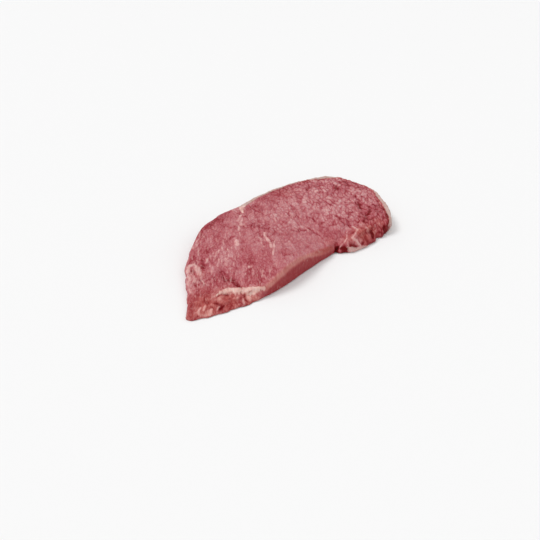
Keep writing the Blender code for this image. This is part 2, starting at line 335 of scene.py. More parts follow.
RED_PATCHES = (
    # tail
    (-105, -25, 6, 0.6), (-95, -17, 8, 0.8), (-83, -19, 8, 0.6), (-72, -8, 5, 0.25), (-71, 5, 3.2, 1.3),
    (-70, 14, 8, 0.45), (-68.5, 9.5, 3, 1.2), (-66.5, 14, 3, 0.8), (-50, -38, 6, 0.5),
    # shoulder
    (-57, 15, 6, 0.4), (-54, 33, 8, 0.8), (-45, 24, 7, 0.7), (-42, 38, 8, 1.1), (-32, 28, 7, 0.9),
    (-29, 41, 8, 1.2), (-18, 37, 8, 0.9),
    # middle
    (-48, -15, 9, 0.3), (-18, 14, 6, 0.6), (-13, 24, 5, 0.4), (-9, 20, 8, 0.3), (20, -18, 9, 0.3),
    (22, -28, 8, 0.9),
    # back
    (5, 32, 9, 0.5), (20, 39, 8, 0.7), (36, 40, 8, 0.8), (50, 28, 11, 0.4), (50, 40, 8, 0.8),
    (64, 37, 8, 0.7), (78, 32, 7, 0.4),
    # blunt end
    (81, -30, 9, 1), (83.3, 15.6, 4, 0.5), (84, 15, 9, 0.6), (86, 8.8, 4, 0.5), (96, 15, 9, 1.1),
    (98, 2, 6, 0.5),
    # side muscle, and the seam that it ends at; the first darkens the notch's corner as painted shadow
    (18.5, -37, 4.5, 1), (31, -34, 7, 0.6), (44, -26, 8, 0.3), (47.5, -42, 6, 0.6), (57.5, -37, 5, 1.1),
    (60, -44, 5, 0.5), (62.5, -31.5, 5.5, 1.5), (68.5, -39, 4.5, 0.9), (68.5, -26, 5, 1.5),
    (70, -42.5, 5, 1.6), (73, -20.5, 4.5, 1.3), (75, -38, 6, 1.6), (75.5, -14, 3.5, 0.8),
)
CALM_PATCHES = ((-97, -22, 12, 0.5), (-40, -20, 18, 0.9), (-10, -38, 14, 1), (10, -30, 15, 1))

# The nick between the side muscle's two lobes, in its lower edge.
NICK_AT = (56.5, -49.0)
NICK_WIDTH = 2.6
NICK_DEPTH = 2.2

# The surface's noises, by what they are laid out in: the wavelength of each, and the seed that places it.
NOISES = {
    "points": {
        "rough": (3, 5),
        "broad": (17, 8),
        "seam_areas": (14, 9),
        "swelling": (6, 11),
        "gap_areas": (4.5, 12),
        "lump": (3.6, 13),
        "vein_areas": (7, 15),
        "waves": (6, 17),
    },
    "swayed": {"veins": (5.5, 14)},
    "grain": {"fine": (1.2, 6), "middle": (4.5, 7)},
}
# The noises that sway the marks and that fray the edge: size, wavelength and a seed for each axis.
SWAYS = ((0.8, 5.0, (1, 3)), (0.45, 1.9, (2, 4)))
FRAYS = ((1.0, 6.5, (21, 22)), (0.6, 2.6, (23, 24)))
# The bundles of fibre, and the groups of them between seams: size and seed.
BUNDLES, GROUPS = (3.3, 2), (6.5, 1)
# How far a noise is moved by a seed of 1, and what spreads the bundles' values.
NOISE_STEP, BUNDLE_STEP = (17.3, 5.1, 9.7), (7.7, 3.3, 11.9)
VALUE_STEP = 31.7

# Shares that grow from 0 to 1 as each of these goes from one value to another.
SHARES = {
    "facing": {"top": (0.25, 0.65), "base": (-0.25, -0.65)},
    "seam_areas": {"seamed": (-0.25, 0.35)},
    "gap_areas": {"gaping": (-0.35, 0.3)},
    "vein_areas": {"veined": (-0.2, 0.3)},
    "bundle_depth": {"bundle_gap": (0.3, 0), "bundle_slope": (0, 0.45)},
    "group_depth": {"group_gap": (0.15, 0), "group_slope": (0, 0.25)},
    "inside": {"wedge_inside": (4.5, 2.5), "cut_inside": (6, 3), "strip_inside": (4.2, 1.8)},
    "swayed_x": {"wedge_along": (22, 24)},
    "x": {
        "tail_part": (-40, -60),
        "flecked": (-20, -60),
        "tailward": (-15, -45),
        "middle_part": (-50, 0),
        "strip_widens": (-15, 8),
        "strip_darkens": (-14, 8),
        "blunt_part": (25, 55),
        "beside_along": (62, 70),
        "rim_start": (80, 73),
        "beside_start": (88, 78),
    },
    "y": {"frontward": (-10, -35)},
    "z": {"low": (5.5, 2.5)},
}
# Where the plain cut side and the painted contact shade low on the side muscle's wall, along X, and a
# bundle's crown begin, are full, fade and end.
CUT_MARKED, LOW_SHADE_ALONG, CROWN_DEPTHS = (-64, -54, 13, 19), (20, 26, 62, 72), (0.12, 0.30, 0.36, 0.62)
TRIMMED = -30.0  # along Y: the trimmed side lies before it
VEIN_EDGE = (0.13, 0.02)  # the veins' noise at a vein's edge, and inside it
GAP_LEAST = 0.3  # share of a gap that is left everywhere
SEAM_CALM = 0.5  # share of a seam that calm meat lacks
WEB_EVEN, WEB_ROUGH = 0.8, 0.5  # strength of the webs, and how far the rough noise changes it

# The fat rim, with the darker meat beside it. Where there are two values, the second is for the back.
RIM_SLANT = (2.0, -10.0)  # how far along the contour the rim's lower edge is moved
RIM_WANDER = (1.0, 4.0)  # how far its widths wander along the contour
RIM_ROUGH = 1.5
RIM_FRAY = 0.5
RIM_BLUR = 1.3
RIM_THIN = 1.5  # width below which it fades
RIM_START_LOSS = 0.5  # on the wall, at its front end
WALL_SLANT = 0.8  # share of the inset that isn't counted on the wall
BESIDE_FAR, BESIDE_NEAR = 3.2, 0.8  # how far in from the rim the darker meat ends, and is full
BESIDE_FRAY = 0.8
BESIDE_ORANGE = 0.6

# The pale wedge low on the side muscle, and the shares of web and of rim that it is made of.
WEDGE_HEIGHT, WEDGE_AT = 5.0, 24.0
WEDGE_FALL = 0.21  # for each millimetre along X
WEDGE_FRAY, WEDGE_BLUR = 0.8, 0.5
WEDGE_WEB, WEDGE_RIM = 1.1, 0.45

# The strip along the cut side's upper edge, which is more orange and is painted lighter there as a highlight
# on the rounded crest, and the plain wall below it.
STRIP_FROM, STRIP_DROP = 0.66, 0.3  # share of the height at its lower edge, and its fall at the notch
STRIP_BLUR, STRIP_FRAY = 0.2, 0.05
# The strip's tone is lifted as a painted highlight on the crest, and falls towards the notch.
STRIP_HIGHLIGHT_TONE, STRIP_DARKENING, STRIP_MOTTLE = 0.70, 0.27, 0.10
# The plain wall's darker tone is partly painted shade, and it is painted darker still towards the bottom as
# contact shade.
PLAIN_TONE, PLAIN_SHADE_DARKENING, PLAIN_ORANGE = 0.34, 0.09, 0.6

# How strongly the surface is cobbled with bundles, what adds to it and what takes it away.
COBBLE, COBBLES = 0.30, {"middle_part": 0.25, "blunt_part": 0.35}
COBBLE_LOSSES = {"calm": 0.7, "wall": 0.7, "above_cut": 1.0, "orange": 0.6}

# Tone of the flesh, from 0 for the darkest red to 1 for the palest, and what each thing adds to it.
FLESH_TONE, COBBLE_TONE, LOOSE_TONE = 0.64, 0.10, -0.02
TONES = {
    "tailward": -0.07,
    "frontward": -0.03,
    "broad": 0.04,
    "middle": 0.08,
    "group_value": 0.10,
    "seam": -0.26,
    "pale": 0.15,
    "red": -0.24,
    "beside_rim": -0.08,
    "beside_front": -0.30,
    "crease": -0.45,
    # The hollows are darkened partly as painted shade.
    "hollow": -0.3,
}
# The crown is a painted wet highlight on each bundle's rounded shoulder; the gaps are the meat's own dark
# red.
COBBLE_TONES = {"bundle_value": 0.10, "crown": 0.15, "gap": -0.30}
# Raised lumps in the loose meat are painted paler, partly as a highlight on their tops and partly as paler
# meat.
LOOSE_TONES = {"lump": 0.32, "strand": 0.45, "tail_vein": 0.2}
# The second darkens the side muscle's wall near the floor as painted contact shade.
WALL_TONES = {"bare_wall": -0.10, "foot": -0.15}

# Height of the relief that each thing makes.
FLESH_RELIEF = {"fine": 0.10, "middle": 0.2}
COBBLE_RELIEF = {"bundle_slope": 0.45, "seam_slope": 0.3}
LOOSE_RELIEF = {"lump": 0.4, "vein": 0.2}
MARK_RELIEF = {"crease": -0.8, "deep_hollow": -0.6, "web": 0.25, "fatty": 0.3}
WALL_RELIEF = {"fine": 0.12, "rough": 0.35, "swelling": 0.5}
DEEPEST = 1.3  # strength at which a hollow is deepest
FATTY = (0.2, 0.8)  # share of fat at which it begins to stand proud, and stands fully
CUT_FLATNESS = 0.75  # share of the wall's relief that the cut side lacks
WALL_MARKS = 0.8  # share of the marks' relief on the wall
BASE_LEVEL, BASE_RELIEF = 0.5, 0.4  # the base is flat, and only what is deeper is sunk into it

# Pale flecks, partly marbling and partly painted glints of wet highlight, the strength of the finest noise,
# and the smallest bundles, which the material draws.
SPECK, SPECKS = 0.22, {"pale": 0.4, "flecked": 0.35}
SPECK_LOSSES = {"calm": 0.4, "wall": 0.7, "strip": 1.0, "orange": 0.7}
GRIT, GRITS = 0.43, {"cobble": -0.17, "orange": -0.15, "calm": -0.18}
CELLS = {"wall": -0.8, "base": -0.4}
# The marks that the material reads, and the greatest value of one.
MARKS = ("tone", "fat", "rim", "web", "deep", "orange", "grit", "speck", "outer", "cells")
MOST_MARK = 2.5

# How far the contour is frayed, and how much more at the tail and at the side muscle, along X.
FRAY, TAIL_FRAY, MUSCLE_FRAY, CUT_FRAY_LOSS = 0.35, 0.45, 0.25, 0.8
TAIL_FRAYED, MUSCLE_FRAYED = (-55.0, -85.0), (18.0, 24.0)
CUT_BEFORE = -20.0  # along Y: the cut side, which is frayed less, lies before it
FRAY_INSIDE = (6.0, 1.5)
FRAY_HEIGHT = 0.5  # share of the height that counts in the noise

# Rounding of the form's edges, and the thickness at which its fine relief begins, and is full.
EDGE_SOFTENED = (7.0, 4.0)  # in from the contour
SOFTENING, SOFTENINGS = 0.5, 8  # share of each step, and number of steps
FINE_RELIEF_FROM = (0.8, 3.5)

# Colours as the light reflected, from 0 to 1.
MEAT_TONES = (
    (0.0, (0.15, 0.003, 0.005)),
    (0.25, (0.275, 0.030, 0.043)),
    (0.5, (0.39, 0.098, 0.114)),
    (0.75, (0.49, 0.21, 0.218)),
    (1.0, (0.62, 0.37, 0.36)),
)
ORANGE_TONES = (
    (0.0, (0.15, 0.003, 0.003)),
    (0.25, (0.28, 0.032, 0.032)),
    (0.5, (0.41, 0.100, 0.090)),
    (0.75, (0.53, 0.21, 0.185)),
    (1.0, (0.70, 0.32, 0.275)),
)
FAT_TONES = (
    (0.25, (0.55, 0.26, 0.23)),
    (0.5, (0.68, 0.42, 0.37)),
    (0.75, (0.78, 0.57, 0.51)),
)
RIM_TONES = (
    (0.25, (0.42, 0.26, 0.21)),
    (0.5, (0.50, 0.335, 0.30)),
    (0.75, (0.58, 0.42, 0.375)),
    (1.0, (0.68, 0.54, 0.48)),
)
# The hollows' deep crimson, running to near black as painted shadow where they are strongest.
HOLLOW_AND_SHADOW_TONES = (
    (0.0, (0.18, 0.003, 0.006)),
    (0.55, (0.12, 0.0, 0.001)),
    (0.9, (0.02, 0.0, 0.0)),
)
WEB_COLOUR = (0.64, 0.36, 0.34, 1.0)

# The material's noises: what each is drawn out along, its wavelength, detail and roughness.
FIBRE_STRETCH = 3.2
SHADER_NOISES = {
    "fine": ("grain", 1.3, 4.0, 0.65),
    "streak": ("fibres", 1.5, 3.0, 0.6),
    "fatty": ("fibres", 2.2, 3.0, 0.6),
    "uneven": ("grain", 2.0, 3.0, 0.6),
    "gloss": ("grain", 2.2, 2.0, 0.5),
}
# The smallest bundles, which only the material draws, and the noise that sways them.
CELL_WIDTH, CELL_SWAY = 1.9, 1.6
CELL_NOISE = (3.0, 2.0, 0.5)
# The pale ring inside each of the smallest bundles is a painted wet highlight.
CELL_GAP, CELL_RISE, CELL_FALL = (0.14, 0.0), (0.05, 0.18), (0.42, 0.2)  # distances from their edges
CELL_SPECK, CELL_TONE = 0.05, 0.06
# Mean values of noises, and ranges that noises and marks together are spread over.
FINE_MEAN, FATTY_MEAN = 0.52, 0.5
SPECK_RANGE, WEB_RANGE, HOLLOW_RANGE = (0.50, 0.72), (0.1, 1.0), (0.1, 0.9)
FAT_RANGE, RIM_RANGE = (0.15, 0.9), (0.25, 0.75)
# Factors, each with the amount that is added.
WEB_BROKEN, WEB_FIRM, EDGE_UNEVEN, GLOSS = (2.6, -0.3), (-0.6, 0.98), (1.8, -0.9), (0.3, 0.33)
COARSE_TONE = 0.18
HOLLOW_NOISE, HOLLOW_LEVEL, HOLLOW_TONE = 0.6, 0.3, 0.4
# The second paints the rim's fat paler on the wall, as light that offsets the wall's shade.
RIM_UNEVEN, LIT_RIM_WALL_TONE = 0.3, 0.3
GAP_HEIGHT, BUMP_STRENGTH, BUMP_HEIGHT = -0.6, 0.35, 0.25
MEAT_SURFACE = {
    "IOR": 1.36,
    "Specular IOR Level": 0.13,
    "Subsurface Weight": 0.12,
    "Subsurface Radius": (1.0, 0.3, 0.2),
    "Subsurface Scale": 1.2 * MM,
}

# The floor, its half width in metres, and the suns: direction, strength and spread in degrees.
FLOOR_HALF = 6.0
FLOOR_SURFACE = {"Base Color": (0.82, 0.82, 0.82, 1.0), "Roughness": 0.9, "Specular IOR Level": 0.1}
SURROUND_COLOUR, SURROUND_STRENGTH = (1.0, 1.0, 1.0, 1.0), 0.7
SUNS = {"sun": ((-0.25, 0.6, 0.9), 1.4, 25.0), "fill": ((-0.5, -0.7, 0.7), 0.5, 60.0)}


def smooth_step(low, high, x):
    """0 at low, 1 at high and an even S between them."""
    t = np.clip((x - low) / (high - low), 0, 1)
    return t * t * (3 - 2 * t)


def plateau(begin, full, fade, end, x):
    """1 from full to fade, 0 outside begin and end, and an even S between them."""
    return smooth_step(begin, full, x) * (1 - smooth_step(fade, end, x))


def curve_point(first, share):
    """The point at a share of the way from one outline point to the next, on a smooth closed curve."""
    a, b, c, d = (np.array(OUTLINE[(first + k) % len(OUTLINE)]) for k in (-1, 0, 1, 2))
    slope = c - a
    bend = 2 * a - 5 * b + 4 * c - d
    twist = 3 * b - a - 3 * c + d
    return b + (slope * share + bend * share**2 + twist * share**3) / 2


def curve_run(first, last, cells):
    """Evenly spaced points along the curve from one outline point to another, both ends included."""
    span = (last - first) % len(OUTLINE)
    steps = range(span * CURVE_STEPS + 1)
    fine = np.array([curve_point(first + k // CURVE_STEPS, k % CURVE_STEPS / CURVE_STEPS) for k in steps])
    along = path_places(fine)
    wanted = np.linspace(0, along[-1], cells + 1)
    return np.column_stack([np.interp(wanted, along, fine[:, axis]) for axis in (0, 1)])


def contour():
    """The contour as one ring of points."""
    sides = zip(CORNERS, CORNERS[1:], SIDE_CELLS)
    return np.vstack([curve_run(first, last, cells)[:-1] for first, last, cells in sides])


def nearest_on_path(x, y, path):
    """Each point's distance from a path, and how far along the path its nearest place is."""
    best, along, start = np.full(len(x), np.inf), np.zeros(len(x)), 0.0
    for (ax, ay), (bx, by) in zip(path, path[1:]):
        length = math.hypot(bx - ax, by - ay)
        t = np.clip(((x - ax) * (bx - ax) + (y - ay) * (by - ay)) / length**2, 0, 1)
        distance = np.hypot(x - ax - t * (bx - ax), y - ay - t * (by - ay))
        along = np.where(distance < best, start + t * length, along)
        best = np.minimum(best, distance)
        start += length
    return best, along


def path_places(path):
    """How far along a path each of its points is."""
    return np.cumsum([0] + [math.dist(a, b) for a, b in zip(path, path[1:])])


def lumps(x, y):
    """The uneven surface of the solid, as a sum of noises of several sizes."""
    total = np.zeros(len(x))
    for wave, height in LUMPS:
        total += height * np.array([noise.noise(Vector((u / wave, v / wave, wave))) for u, v in zip(x, y)])
    return total


def thickness(x, y):
    """Thickness of the steak before its edges are rounded."""
    stations, *sides = np.array(THICKNESS).T
    evened = [[np.interp(x + shift, stations, side) for shift in EVENING] for side in sides]
    front, back = np.mean(evened, axis=1)
    across = smooth_step(-HALF_WIDTH, HALF_WIDTH, y)
    crown = CROWN * (1 - (y / HALF_WIDTH) ** 2) * smooth_step(*CROWN_ALONG, x)
    return front * (1 - across) + back * across + crown


def rim_share(x, y, inside):
    """1 in the band of fat along the curved side and round the blunt end, and 0 in the meat."""
    along = np.where(y > 0, smooth_step(*RIM_BACK, x), smooth_step(*RIM_FRONT, x))
    return along * (1 - smooth_step(RIM_WIDTH - RIM_SOFTNESS, RIM_WIDTH + RIM_SOFTNESS, inside))


def top_height(x, y, inside):
    """Height of the top at (x, y), which lies the given distance inside the contour."""
    body = thickness(x, y)
    relief = lumps(x, y) + RIM_RISE * rim_share(x, y, inside)
    for sign, features in ((-1, GROOVES), (1, RIDGES)):
        for *path, half_width, size in features:
            relief += sign * size * np.exp(-((nearest_on_path(x, y, path)[0] / half_width) ** 2))
    rounded = body * (1 - EDGE_DROP * np.exp(-inside / EDGE_REACH))
    return rounded + relief * smooth_step(*RELIEF_FROM, body)


def side_shares(x, y):
    """How much of the plain cut and of the sloped side there is in the side wall at (x, y)."""
    cut = plateau(*CUT_ALONG, x) * (y < 0)
    slope = smooth_step(*SLOPE_ACROSS, y) * (1 - smooth_step(*SLOPE_END, x))
    return cut, (1 - cut) * slope


def profile_levels(profile):
    """A side profile's insets and heights, at evenly spaced rows."""
    inset, up = np.array(profile).T
    steps = np.linspace(0, len(profile) - 1, WALL_ROWS)
    return np.column_stack([np.interp(steps, range(len(profile)), values) for values in (inset, up)])


def side_levels(ring):
    """The rings that climb the side wall, each as rows of (x, y, z), from the base to the top's edge."""
    x, y = ring.T
    along = np.roll(ring, -1, axis=0) - np.roll(ring, 1, axis=0)
    inward = np.column_stack([-along[:, 1], along[:, 0]]) / np.linalg.norm(along, axis=1)[:, None]
    cut, slope = side_shares(x, y)
    upright = 1 - cut - slope
    slim = np.clip(thickness(x, y) / FULL_SIDE, LEAST_SIDE, 1)
    reach = np.interp(x, *zip(*SLOPE_REACH))
    uneven = lumps(x * SIDE_SQUEEZE, y * SIDE_SQUEEZE) * SIDE_LUMP * slim
    height = top_height(x, y, np.zeros(len(ring)))
    profiles = zip(*map(profile_levels, (CUT_SIDE, SLOPED_SIDE, UPRIGHT_SIDE)))
    levels = []
    for (cut_in, cut_up), (slope_in, slope_up), (upright_in, upright_up) in profiles:
        inset = cut * cut_in * slim + slope * slope_in * reach + upright * upright_in * slim
        up = cut * cut_up + slope * slope_up + upright * upright_up
        inset += uneven * np.sin(math.pi * up)
        levels.append(np.column_stack([ring + inward * inset[:, None], height * up]))
    return levels


def grid_inside(edge):
    """Rows of (x, y) points that fill a ring: a Coons patch between its four sides."""
    starts = np.cumsum((0,) + SIDE_CELLS)
    closed = np.vstack([edge, edge[:1]])
    front, end, back, shoulder = [closed[a : b + 1] for a, b in zip(starts, starts[1:])]
    back, shoulder = back[::-1], shoulder[::-1]
    u = np.linspace(0, 1, CELLS_LONG + 1)[None, :, None]
    v = np.linspace(0, 1, CELLS_ACROSS + 1)[:, None, None]
    sides = (1 - v) * front[None] + v * back[None] + (1 - u) * shoulder[:, None] + u * end[:, None]
    front_corners = (1 - v) * ((1 - u) * front[0] + u * front[-1])
    back_corners = v * ((1 - u) * back[0] + u * back[-1])
    return sides - front_corners - back_corners


def grid_indices(ring, first_inner):
    """Vertex number at each row and column of a grid whose border is a ring already made."""
    indices = np.empty((CELLS_ACROSS + 1, CELLS_LONG + 1), dtype=int)
    sides = np.split(ring, np.cumsum(SIDE_CELLS[:-1]))
    indices[0, :-1], indices[:-1, -1], indices[-1, :0:-1], indices[:0:-1, 0] = sides
    inner = (CELLS_ACROSS - 1, CELLS_LONG - 1)
    indices[1:-1, 1:-1] = first_inner + np.arange(math.prod(inner)).reshape(inner)
    return indices


def quads(indices):
    """The four corners of each cell in a grid of vertex numbers."""
    corners = (indices[:-1, :-1], indices[:-1, 1:], indices[1:, 1:], indices[1:, :-1])
    return np.stack(corners, axis=-1).reshape(-1, 4)


def build_form():
    """The steak's smooth form: its points, its faces and its contour."""
    ring = contour()
    levels = side_levels(ring)
    closed = np.vstack([ring, ring[:1]])
    top = grid_inside(levels[-1][:, :2])[1:-1, 1:-1].reshape(-1, 2)
    height = top_height(*top.T, nearest_on_path(*top.T, closed)[0])
    base = grid_inside(levels[0][:, :2])[1:-1, 1:-1].reshape(-1, 2)
    top_and_base = [np.column_stack([top, height]), np.column_stack([base, np.zeros(len(base))])]
    points = np.vstack(levels + top_and_base)
    wall = np.arange(len(levels) * len(ring)).reshape(len(levels), -1)
    wall_quads = quads(np.column_stack([wall, wall[:, :1]]))
    top_quads = quads(grid_indices(wall[-1], wall.size))
    base_quads = quads(grid_indices(wall[0], wall.size + len(top)))[:, ::-1]
    middle = (points.min(axis=0) + points.max(axis=0)) / 2
    middle[2] = 0
    return points - middle, np.vstack([wall_quads, top_quads, base_quads]), closed - middle[:2]


def relaxed(points, faces):
    """Points drawn towards the mean of their neighbours, some times over."""
    start, end = faces.ravel(), np.roll(faces, -1, axis=1).ravel()  # every edge, once each way
    count = np.bincount(start)[:, None]
    for _ in range(SOFTENINGS):
        total = np.zeros_like(points)
        np.add.at(total, start, points[end])
        points = points + SOFTENING * (total / count - points)
    return points


def normals(points, faces):
    """Unit normal at each vertex, from the faces round it."""
    a, b, c, d = (points[faces[:, k]] for k in range(4))
    total = np.zeros_like(points)
    np.add.at(total, faces, np.cross(c - a, d - b)[:, None])
    return total / np.linalg.norm(total, axis=1)[:, None]


def ripples(points, wave, seed):
    """Smooth noise between about -1 and 1 at each point, with the given wavelength."""
    shift = Vector([seed * step for step in NOISE_STEP])
    return np.array([noise.noise(Vector(point) + shift) for point in points / wave])


def bundles(points, size, seed):
    """Cells of about the given size: how deep each point is inside its cell, and the cell's own value."""
    shift = Vector([seed * step for step in BUNDLE_STEP])
    depth, value = np.empty(len(points)), np.empty(len(points))
    for k, point in enumerate(points / size):
        distances, places = noise.voronoi(Vector(point) + shift)
        depth[k] = distances[1] - distances[0]
        value[k] = noise.cell(places[0] * VALUE_STEP) - 0.5
    return depth, value


def strokes(x, y, table):
    """The strongest of a table's soft strokes at each point. They thin towards their ends."""
    total = np.zeros(len(x))
    for *path, half_width, strength in table:
        distance, along = nearest_on_path(x, y, path)
        share = along / path_places(path)[-1]
        width = half_width * (STROKE_END + (1 - STROKE_END) * np.sin(math.pi * share))
        total = np.maximum(total, strength * np.exp(-((distance / width) ** 2)))
    return total


def bands(x, y, table):
    """The strongest of a table's soft bands at each point."""
    total = np.zeros(len(x))
    for band in table:
        path = [place for *place, half_width in band]
        distance, along = nearest_on_path(x, y, path)
        width = np.interp(along, path_places(path), [half_width for *place, half_width in band])
        total = np.maximum(total, np.exp(-((distance / width) ** 2)))
    return total


def patches(x, y, table):
    """The strongest of a table's soft round patches at each point."""
    total = np.zeros(len(x))
    for px, py, radius, strength in table:
        total = np.maximum(total, strength * np.exp(-((np.hypot(x - px, y - py) / radius) ** 2)))
    return total


def along_grain(points):
    """Points in coordinates that shrink along the grain, so that noise in them is drawn out along it."""
    turn = math.radians(GRAIN_ANGLE)
    x, y, z = points.T
    u = x * math.cos(turn) + y * math.sin(turn)
    v = y * math.cos(turn) - x * math.sin(turn)
    return np.column_stack([u / GRAIN_STRETCH, v, z / DEPTH_STRETCH])


def moved_by(points, noises):
    """How far along X and Y some noises move each point."""
    return np.column_stack(
        [sum(size * ripples(points, wave, seeds[axis]) for size, wave, seeds in noises) for axis in (0, 1)]
    )


def weighted(at, amounts):
    """The sum of some named values, each times its amount."""
    return sum(amount * getattr(at, name) for name, amount in amounts.items())


def lessened(at, losses):
    """What is left of 1 where each of some named shares takes its part away."""
    return math.prod(1 - loss * getattr(at, name) for name, loss in losses.items())


def survey(points, normal, closed):
    """Each vertex's place, the way it faces, the noises there and the fibre bundle that it is in."""
    swayed = points.copy()
    swayed[:, :2] += moved_by(points, SWAYS)
    grain = along_grain(swayed)
    at = SimpleNamespace()
    for space, noises in zip((points, swayed, grain), NOISES.values()):
        for name, (wave, seed) in noises.items():
            setattr(at, name, ripples(space, wave, seed))
    at.x, at.y, at.z = points.T
    at.swayed_x, at.swayed_y, at.facing = swayed[:, 0], swayed[:, 1], normal[:, 2]
    at.inside, at.along = nearest_on_path(at.x, at.y, closed)
    at.bundle_depth, at.bundle_value = bundles(grain, *BUNDLES)
    at.group_depth, at.group_value = bundles(grain, *GROUPS)
    for source, shares in SHARES.items():
        for name, (none, full) in shares.items():
            setattr(at, name, smooth_step(none, full, getattr(at, source)))
    at.up = at.z / np.maximum(thickness(at.x, at.y), 1)
    at.wall = 1 - at.top - at.base
    at.front = at.y < 0
    return at


def add_drawn(at):
    """What the tables place on the meat, and the thin veins of membrane between."""
    x, y = at.swayed_x, at.swayed_y
    at.fat = bands(x, y, FAT_BANDS) * (1 - at.wall)
    at.web = strokes(x, y, WEB_STROKES) * (WEB_EVEN + WEB_ROUGH * at.rough)
    at.strand = np.minimum(at.web, 1)
    at.crease = strokes(x, y, CREASE_STROKES)
    at.deep = strokes(x, y, DEEP_STROKES)
    at.hollow, at.deep_hollow = np.minimum(at.deep, 1), np.minimum(at.deep, DEEPEST)
    at.orange, at.pale = patches(x, y, ORANGE_PATCHES), patches(x, y, PALE_PATCHES)
    at.red, at.calm = patches(x, y, RED_PATCHES), patches(at.x, at.y, CALM_PATCHES)
    at.vein = smooth_step(*VEIN_EDGE, np.abs(at.veins)) * at.veined
    at.tail_vein = at.vein * at.tail_part


def add_rim(at, closed):
    """The fat rim and the darker meat beside it."""
    slant = (1 - at.up) * at.wall * np.where(at.front, *RIM_SLANT)
    wander = np.where(at.front, *RIM_WANDER) * at.waves + RIM_ROUGH * at.rough
    x, y, widths = np.array(FAT_RIM).T
    width = np.interp(at.along + slant + wander, nearest_on_path(x, y, closed)[1], widths)
    depth = at.inside * (1 - WALL_SLANT * at.wall) + RIM_FRAY * at.rough
    at.rim = smooth_step(-RIM_BLUR, RIM_BLUR, width - depth) * smooth_step(0, RIM_THIN, width)
    at.rim *= 1 - RIM_START_LOSS * at.rim_start * at.wall * at.front
    # Where the rim runs down the wall, its fat is painted paler as light, to offset the wall's shade.
    at.outer = at.wall * at.rim
    beside = smooth_step(width + BESIDE_FAR, width + BESIDE_NEAR, at.inside + BESIDE_FRAY * at.rough)
    at.beside_rim = beside * at.beside_along * (1 - at.rim) * (1 - at.base)
    at.beside_front = at.beside_rim * at.beside_start * at.front


def add_wedge(at):
    """The pale wedge low on the side muscle, which gets lower away from the notch."""
    level = WEDGE_HEIGHT - WEDGE_FALL * (at.swayed_x - WEDGE_AT) + WEDGE_FRAY * at.rough
    wedge = smooth_step(level + WEDGE_BLUR, level - WEDGE_BLUR, at.z)
    wedge *= at.wedge_along * at.wedge_inside * at.front
    at.web = np.maximum(at.web, WEDGE_WEB * wedge)
    at.rim = np.maximum(at.rim, WEDGE_RIM * wedge)
    at.fatty = smooth_step(*FATTY, np.maximum(at.fat, at.rim))


def add_cut_side(at):
    """The plain cut side, and the strip along its upper edge, more orange and painted lighter as a highlight
    on the crest.
    """
    at.cut = plateau(*CUT_MARKED, at.x) * (at.y < TRIMMED)
    low = STRIP_FROM - STRIP_DROP * at.strip_widens
    strip = smooth_step(low, low + STRIP_BLUR, at.up + STRIP_FRAY * at.rough)
    at.strip = at.cut * strip * at.strip_inside
    at.plain = at.cut * at.wall * (1 - at.strip)
    at.above_cut = at.cut * at.cut_inside
    at.bare_wall = at.wall * (1 - at.cut)
    at.loose = at.orange * (1 - at.cut * (at.wall + at.strip * at.top))
    at.orange = np.maximum(at.orange, at.strip + PLAIN_ORANGE * at.plain)


def add_bundles(at):
    """How strongly the surface is cobbled, and the crowns, gaps and seams of its bundles of fibre."""
    at.cobble = (COBBLE + weighted(at, COBBLES)) * lessened(at, COBBLE_LOSSES)
    # A bundle's crown is painted lighter as a wet highlight.
    at.crown = plateau(*CROWN_DEPTHS, at.bundle_depth)
    at.gap = at.bundle_gap * (GAP_LEAST + (1 - GAP_LEAST) * at.gaping)
    at.seam = at.group_gap * at.seamed * (0.5 + at.cobble) * (1 - SEAM_CALM * at.calm)
    at.seam_slope = at.group_slope * at.seamed


def tone_of(at):
    """Tone of the flesh."""
    tone = FLESH_TONE + weighted(at, TONES) + at.cobble * (COBBLE_TONE + weighted(at, COBBLE_TONES))
    tone += at.loose * (LOOSE_TONE + weighted(at, LOOSE_TONES))
    # The plain wall is painted darker towards the bottom, as contact shade where it meets the floor.
    plain_tone = PLAIN_TONE - PLAIN_SHADE_DARKENING * (1 - at.up)
    # The strip's lighter tone is a painted highlight on the crest of the cut side.
    strip_tone = STRIP_HIGHLIGHT_TONE - STRIP_DARKENING * at.strip_darkens + STRIP_MOTTLE * at.rough
    tone += at.plain * (plain_tone - tone) + at.strip * (strip_tone - tone)
    # Painted contact shade low on the side muscle's wall, near the floor.
    at.foot = at.low * plateau(*LOW_SHADE_ALONG, at.x) * (at.y < TRIMMED) * (1 - at.base)
    return tone + weighted(at, WALL_TONES)


def relief_of(at):
    """Height of the relief over the smooth form."""
    flesh = weighted(at, FLESH_RELIEF) + at.cobble * weighted(at, COBBLE_RELIEF)
    flesh += at.loose * weighted(at, LOOSE_RELIEF)
    marks = weighted(at, MARK_RELIEF)
    sunk = BASE_RELIEF * np.minimum(flesh + marks - BASE_LEVEL, 0)
    side = (1 - CUT_FLATNESS * at.cut) * weighted(at, WALL_RELIEF)
    return at.top * (flesh + marks) + at.base * sunk + at.wall * (side + WALL_MARKS * marks)


def mark_surface(points, normal, closed):
    """The marks that the material reads at each vertex, and the height of the relief there."""
    at = survey(points, normal, closed)
    add_drawn(at)
    add_rim(at, closed)
    add_wedge(at)
    add_cut_side(at)
    add_bundles(at)
    at.tone = tone_of(at)
    at.orange = np.maximum(at.orange, BESIDE_ORANGE * at.beside_rim)
    at.grit = GRIT + weighted(at, GRITS)
    at.speck = (SPECK + weighted(at, SPECKS)) * lessened(at, SPECK_LOSSES)
    at.cells = 1 + weighted(at, CELLS)
    return {name: getattr(at, name) for name in MARKS}, relief_of(at)


